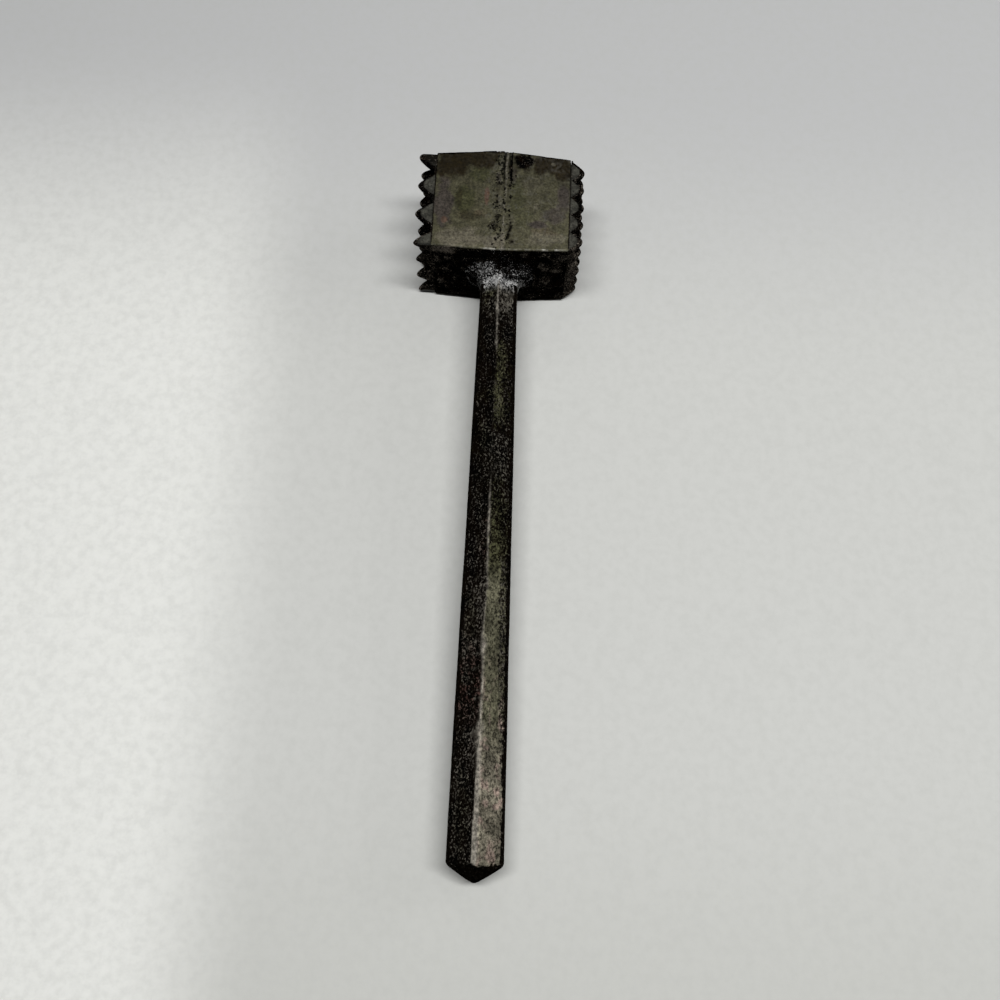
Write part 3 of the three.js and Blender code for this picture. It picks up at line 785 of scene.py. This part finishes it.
class Finish:
    """One material's node tree, which reads the tool's own millimetres."""

    def __init__(self, name):
        self.material = bpy.data.materials.new(name)
        self.material.use_nodes = True
        self.tree = self.material.node_tree
        self.tree.nodes.clear()
        turned = {"Vector": self.node("TexCoord", output="Object"), "Location": HEAD_CENTRE,
                  "Rotation": (TILT, 0, 0), "Scale": (METRES, METRES, METRES)}
        self.millimetres = self.node("Mapping", {"vector_type": "TEXTURE"}, turned)

    def node(self, kind, settings=(), inputs=(), output=0):
        """Adds a node: its settings first, then the values or links of its sockets. Gives one of its
        outputs."""
        node = self.tree.nodes.new("ShaderNode" + kind)
        for name, value in dict(settings).items():
            setattr(node, name, value)
        for name, value in dict(inputs).items():
            if isinstance(value, Socket):
                self.tree.links.new(value.output, node.inputs[name])
            else:
                node.inputs[name].default_value = value
        return Socket(self, node.outputs[output]) if node.outputs else None

    def math(self, operation, *values):
        return self.node("Math", {"operation": operation}, dict(enumerate(values)))

    def mark(self, name):
        return self.node("Attribute", {"attribute_name": name}, output="Fac")

    def spot(self, seed, stretch):
        """The millimetres moved far off by the seed, and drawn out by the stretch along each axis."""
        values = {"Vector": self.millimetres, "Location": (seed * 31.7, seed * 17.3, seed * 7.9),
                  "Scale": tuple(1 / s for s in stretch)}
        return self.node("Mapping", {}, values)

    def noise(self, size, detail=2, stretch=(1, 1, 1), roughness=0.5, seed=0):
        """Noise from 0 to 1 whose features are about size millimetres."""
        values = {"Vector": self.spot(seed, stretch), "Scale": 1 / size, "Detail": detail,
                  "Roughness": roughness}
        return self.node("TexNoise", {}, values)

    def grains(self, size, cover, stretch=(1, 1, 1), seed=0):
        """Strength, from 0 to 1, of ragged grains about size millimetres across: the tops of a fine
        noise, which lie denser where the cover is higher. A coarser noise makes some of them bright and
        others dim."""
        tops = (self.noise(size, 2, stretch, 0.75, seed) + cover * 0.25 - 0.64).step(0, 0.1)
        bright = self.noise(size * 3, 1, stretch, seed=seed + 40).step(0.3, 0.7)
        return tops * (0.2 + bright * 0.8)

    def along(self, axis):
        return self.node("SeparateXYZ", {}, {0: self.millimetres}, axis)

    def blend(self, first, second, mask):
        """The first colour, turning into the second where the mask is 1."""
        colours = [c if isinstance(c, Socket) else (*c, 1) for c in (first, second)]
        return self.node("Mix", {"data_type": "RGBA"}, {0: mask, 6: colours[0], 7: colours[1]}, 2)

    def shade(self, colour, factor):
        """The colour made darker or lighter by the factor."""
        return self.node("VectorMath", {"operation": "SCALE"}, {0: colour, "Scale": factor})

    def metal(self, colour, roughness, metallic, height, depth, specular=0):
        """A metal shader. The height, from 0 to 1, is a relief as deep as depth, in millimetres."""
        bump = self.node("Bump", {}, {"Height": height, "Distance": depth * METRES, "Strength": 1})
        values = {"Base Color": colour, "Roughness": roughness, "Metallic": metallic, "Normal": bump,
                  "Specular IOR Level": specular}
        return self.node("BsdfPrincipled", {}, values)

    def finished(self, shader):
        self.node("OutputMaterial", {}, {"Surface": shader})
        return self.material


# Colours of the old metal
OLIVE = (0.062, 0.058, 0.034)
STAIN_COLOURS = {
    "green": (0.047, 0.047, 0.022),
    "lilac": (0.049, 0.041, 0.034),
    "brown": (0.0155, 0.0112, 0.004),
    "pink": (0.088, 0.053, 0.036),
    "tan": (0.1, 0.09, 0.064),
}
CUT_GREY = (0.038, 0.037, 0.03)
# Soot black skin; where it is kept on the near side it is partly painted shade
SOOT = (0.0011, 0.001, 0.0009)
RUST = (0.005, 0.003, 0.0016)
GREY_SKIN = (0.06, 0.056, 0.047)
DIRT = (0.003, 0.0026, 0.0015)
BARE = (0.24, 0.22, 0.185)
# Worn near edge, partly a painted highlight
RUBBED_EDGE_HIGHLIGHT = (0.42, 0.41, 0.37)
TAN_GRAIN = (0.22, 0.19, 0.155)
# Bright grains of bare metal on the welds and by the handle's root, their sparkle partly painted in as colour
GLINT = (0.6, 0.6, 0.59)
GREY_GRAIN = (0.125, 0.115, 0.095)
GREEN_GRAIN = (0.085, 0.083, 0.046)
WINE_GRAIN = (0.09, 0.05, 0.042)
LIT_PALM_GREEN = (0.05, 0.05, 0.026)
LIT_PALM_OLIVE = (0.09, 0.086, 0.057)
LIT_PALM_GREY = (0.146, 0.133, 0.1)
LIT_PALM_PINK = (0.2, 0.155, 0.128)


def flecks(finish, seed):
    """A factor, about 0.5 to 1.5, that gives old metal its fine light and dark flecks."""
    return 0.5 + finish.noise(0.85, 4, roughness=0.75, seed=seed).step(0.3, 0.7)


def patina(finish):
    """Colour of the ground sides: olive, clouded by its stains, duller towards the far edge as painted
    shade, and finely flecked."""
    ragged = finish.noise(1.3, 3, seed=2) - 0.5
    colour = OLIVE
    for name, stain in STAIN_COLOURS.items():
        colour = finish.blend(colour, stain, (finish.mark(name) + ragged * 0.5).step(0.1, 0.9))
    cloud = 0.72 + finish.noise(2.6, 4, roughness=0.6, seed=22).step(0.3, 0.7) * 0.56
    # Painted shade: darker towards the far edge, lighter towards the near one
    near = 0.85 + finish.along(1).step(20, -20) * 0.25
    colour = finish.shade(colour, near * cloud * flecks(finish, 5))
    return finish.blend(colour, DIRT, finish.noise(0.6, 2, roughness=0.7, seed=4).step(0.38, 0.28) * 0.7)


def greyed_skin(finish, dark):
    """The dark skin, turned grey in clouds where the grey mark is high; the near side stays soot black,
    partly as painted shade.
    """
    cloud = 0.3 + finish.noise(3, 4, roughness=0.65, seed=35).step(0.3, 0.6) * 0.7
    return finish.blend(dark, finish.shade(GREY_SKIN, flecks(finish, 34)), finish.mark("grey") * cloud)


def skin_shader(finish, grain_colour):
    """Raw casting skin: soot black and dull, or grey, with bright grains where the grain mark is high."""
    cover = finish.mark("grain") + finish.noise(5, 3, seed=7).step(0.45, 0.75) * 0.3
    grains = finish.grains(0.75, cover, seed=6).most(finish.grains(0.5, cover, seed=10))
    relief = finish.noise(0.8, 3, roughness=0.6, seed=8) + grains * 0.4
    dark = greyed_skin(finish, finish.blend(SOOT, RUST, finish.noise(4, 3, seed=9).step(0.5, 0.7)))
    return finish.metal(finish.blend(dark, grain_colour, grains), 0.7, grains * 0.3, relief, 0.15)


def head_finish(name, grain_colour):
    """The head and its seam: patina on the ground sides, skin elsewhere, dirt in the pits, bare metal on
    the line."""
    finish = Finish(name)
    colour = patina(finish)
    bare = finish.mark("bare") * finish.noise(0.6, 2, seed=11).step(0.3, 0.6) * 0.6
    colour = finish.blend(colour, BARE, bare)
    # Worn near edge, partly a painted highlight along its rounding
    rubbed_highlight = finish.mark("edge") * finish.noise(1.2, 3, seed=3).step(0.35, 0.65)
    colour = finish.blend(colour, RUBBED_EDGE_HIGHLIGHT, rubbed_highlight)
    colour = finish.blend(colour, DIRT, finish.mark("dirt"))
    relief = finish.noise(0.8, 4, roughness=0.7, seed=12)
    rough = 0.48 + finish.noise(4, 3, seed=13) * 0.2 + finish.mark("dirt") * 0.3
    ground = finish.metal(colour, rough, 0.5, relief, 0.09, specular=0.12)
    skin = skin_shader(finish, grain_colour)
    return finish.finished(finish.node("MixShader", {}, {0: finish.mark("ground"), 1: skin, 2: ground}))


def tooth_finish():
    """Teeth: skin on the flanks, dull mottled grey on the cut faces at the plate's edge."""
    finish = Finish("tooth_iron")
    cloud = 0.75 + finish.noise(2.2, 3, seed=32).step(0.35, 0.65) * 0.9
    colour = finish.shade(CUT_GREY, flecks(finish, 14) * cloud)
    colour = finish.blend(colour, DIRT, finish.noise(0.7, 2, roughness=0.7, seed=33).step(0.42, 0.32))
    ground = finish.metal(colour, 0.55, 0.4, finish.noise(0.8, 3, seed=14), 0.09, specular=0.12)
    skin = skin_shader(finish, TAN_GRAIN)
    return finish.finished(finish.node("MixShader", {}, {0: finish.mark("ground"), 1: skin, 2: ground}))


def handle_finish():
    """The bar: black pebbly skin with pale grains, wine-red in places, closing up to smooth grey metal
    under the palm on the right side, partly painted light, with a bare line along the upper edge,
    partly a painted highlight, and brighter grains by the root weld."""
    finish = Finish("handle_iron")
    fine = finish.noise(0.9, 4, (1, 1.3, 1), 0.75, 15).step(0.34, 0.66)
    cloud = finish.noise(4, 3, (1, 2, 1), seed=17).step(0.3, 0.7)
    grains = finish.grains(0.7, finish.mark("cover"), (1, 1.3, 1), seed=16)
    pale = finish.blend(GREY_GRAIN, GREEN_GRAIN, finish.mark("green"))
    pale = finish.blend(pale, WINE_GRAIN, finish.mark("wine") * finish.noise(3, 2, seed=19).step(0.35, 0.6))
    pale = finish.blend(pale, GLINT, finish.mark("root"))
    colour = finish.blend(greyed_skin(finish, finish.blend(SOOT, RUST, cloud * 0.6)), pale, grains)
    along = finish.along(1)
    # The palm's metal, on the right side and lighter towards the butt, is partly painted light
    lit_palm_colour = finish.blend(LIT_PALM_GREEN, LIT_PALM_OLIVE, along.step(-136, -148))
    lit_palm_colour = finish.blend(lit_palm_colour, LIT_PALM_GREY, along.step(-192, -212))
    pink = finish.noise(3, 3, (1, 2, 1), seed=20).step(0.52, 0.66) * along.step(-165, -200)
    lit_palm_colour = finish.blend(lit_palm_colour, LIT_PALM_PINK, pink.most(finish.mark("pink")))
    lit_palm_colour = finish.shade(lit_palm_colour, (0.15 + fine * 1.7) * (0.55 + cloud * 0.9))
    lit_palm = (finish.mark("lit_palm") * 1.5 + fine * 0.7 - 0.6).step(0, 0.6)
    colour = finish.blend(colour, lit_palm_colour, lit_palm)
    # The bare line and worn flat on the upper edge, partly a painted highlight
    colour = finish.blend(colour, finish.shade(BARE, 0.45 + fine * 1.35), finish.mark("bare"))
    relief = grains * 0.5 + fine * 0.5
    return finish.finished(finish.metal(colour, 0.6, lit_palm * 0.4, relief, 0.14))


# The pieces

def skewed(shape):
    """A shape of the head turned a little clockwise, as the head was fixed to its handle."""
    grid, marks = shape
    return grid @ np.array(Matrix.Rotation(-HEAD_SKEW, 3, "Z")).T, marks


def add(name, shape, finish, slot, node, **options):
    grid, marks = shape
    piece = ring_mesh(name, grid, marks, **options)
    piece.data.materials.append(finish)
    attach(piece, "root")
    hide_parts(node)


casting = head_finish("head_iron", TAN_GRAIN)
add("coarse_half_casting", skewed(head_half(-1)), casting, "head_casting", "coarse_head_half")
add("fine_half_casting", skewed(head_half(1)), casting, "head_casting", "fine_head_half")
seam_metal = head_finish("seam_weld_metal", GLINT)
add("ground_seam", skewed(seam_bead()), seam_metal, "ground_weld", "seam_bead")
iron_teeth = tooth_finish()
coarse = (COARSE_ROWS, COARSE_ROWS, COARSE_PITCH, COARSE_BASE, COARSE_HEIGHT, COARSE_BLUNT, COARSE_MIDDLE, 5)
add("coarse_teeth", skewed(tooth_plate(-1, *coarse)), iron_teeth, "tooth_plates", "coarse_tooth_plate")
fine = (FINE_ROWS - 1, FINE_ROWS, FINE_PITCH, FINE_BASE, FINE_HEIGHT, FINE_BLUNT, FINE_MIDDLE, 6)
add("fine_teeth", skewed(tooth_plate(1, *fine)), iron_teeth, "tooth_plates", "fine_tooth_plate")
add("hexagonal_handle", handle(), handle_finish(), "handle_bar", "handle")
weld = Finish("root_weld_metal")
weld_metal = weld.finished(skin_shader(weld, GLINT))
add("root_weld", root_fillet(), weld_metal, "ground_weld", "root_fillet", wrap_rings=True)


# Camera
FOCAL_PX = 1215
PHOTO_PX = 1000
SENSOR = 36
CAMERA_AT = Vector((0.00612, -0.1534, 0.43671))
LOOK_DOWN = math.radians(69.965)
CAMERA_TURN = math.radians(0.645)
CAMERA_ROLL = math.radians(1.606)

camera_data = bpy.data.cameras.new("camera")
camera_data.sensor_width = SENSOR
camera_data.lens = SENSOR * FOCAL_PX / PHOTO_PX
camera = bpy.data.objects.new("camera", camera_data)
aimed = Matrix.Rotation(CAMERA_TURN, 4, "Z") @ Matrix.Rotation(math.pi / 2 - LOOK_DOWN, 4, "X")
camera.matrix_world = Matrix.Translation(CAMERA_AT) @ aimed @ Matrix.Rotation(CAMERA_ROLL, 4, "Z")
bpy.context.scene.collection.objects.link(camera)
bpy.context.scene.camera = camera


# Paper and light
PAPER = (0.62, 0.625, 0.6)
PAPER_SHADED_FAR = (0.535, 0.54, 0.54)
PAPER_SHADED_NEAR = (0.575, 0.58, 0.55)
PAPER_LIT_LEFT = (0.82, 0.825, 0.79)
PAPER_FLECK = (0.5, 0.505, 0.48)
PAPER_BOUNCE = (0.16, 0.16, 0.15)
PAPER_HALF = 3
ROOM = (0.04, 0.04, 0.04)


def paper():
    """Pale paper for the camera and for reflections, and dark for the light that bounces off it, so that
    the sides of the head stay deep in shade. It grows paler towards its left edge, a painted pool of
    light, and duller beyond the head and towards the viewer, painted shade."""
    finish = Finish("paper")
    seen = finish.node("LightPath", output="Is Camera Ray")
    mirrored = finish.node("LightPath", output="Is Glossy Ray")
    through = finish.node("LightPath", output="Is Transmission Ray")
    # Painted light and shade: paler towards the left edge, duller beyond the head and towards the viewer
    colour = finish.blend(PAPER, PAPER_SHADED_FAR, finish.along(1).step(-60, 90))
    colour = finish.blend(colour, PAPER_SHADED_NEAR, finish.along(1).step(-190, -300))
    left = finish.along(0).step(-70, -125) * finish.along(1).step(110, -60)
    colour = finish.blend(colour, PAPER_LIT_LEFT, left)
    mottle = finish.noise(3.5, 4, roughness=0.6, seed=30).step(0.3, 0.8) * 0.3
    pale = finish.node("BsdfDiffuse", {}, {"Color": finish.blend(colour, PAPER_FLECK, mottle)})
    dark = finish.node("BsdfDiffuse", {}, {"Color": (*PAPER_BOUNCE, 1)})
    shown = seen.most(mirrored).most(through)
    return finish.finished(finish.node("MixShader", {}, {0: shown, 1: dark, 2: pale}))


floor_mesh = bpy.data.meshes.new("paper")
corners = [(sx * PAPER_HALF, sy * PAPER_HALF, 0) for sx, sy in ((-1, -1), (1, -1), (1, 1), (-1, 1))]
floor_mesh.from_pydata(corners, [], [(0, 1, 2, 3)])
floor_mesh.materials.append(paper())
floor = bpy.data.objects.new("paper", floor_mesh)
bpy.context.scene.collection.objects.link(floor)


def lamp(name, at, aim, width, length, watts):
    """A rectangular lamp in metres, turned so that it shines from at towards aim, its width level."""
    data = bpy.data.lights.new(name, "AREA")
    data.shape = "RECTANGLE"
    data.size = width
    data.size_y = length
    data.energy = watts
    lamp_object = bpy.data.objects.new(name, data)
    lamp_object.location = at
    lamp_object.rotation_euler = (Vector(aim) - Vector(at)).to_track_quat("-Z", "Y").to_euler()
    bpy.context.scene.collection.objects.link(lamp_object)


lamp("tube_overhead", (0.1, -0.08, 1.25), (0.1, -0.0801, 0), 1.1, 0.15, 15.3)
lamp("far_box", (0, 0.85, 1.1), (0, 0.1, 0), 0.8, 0.5, 1)
lamp("low_right_box", (0.95, 0.28, 0.5), (0, 0, 0), 0.6, 0.3, 1.6)

world = bpy.data.worlds.new("room")
world.use_nodes = True
world.node_tree.nodes["Background"].inputs["Color"].default_value = (*ROOM, 1)
bpy.context.scene.world = world
bpy.context.scene.view_settings.view_transform = "Standard"

bpy.context.view_layer.update()
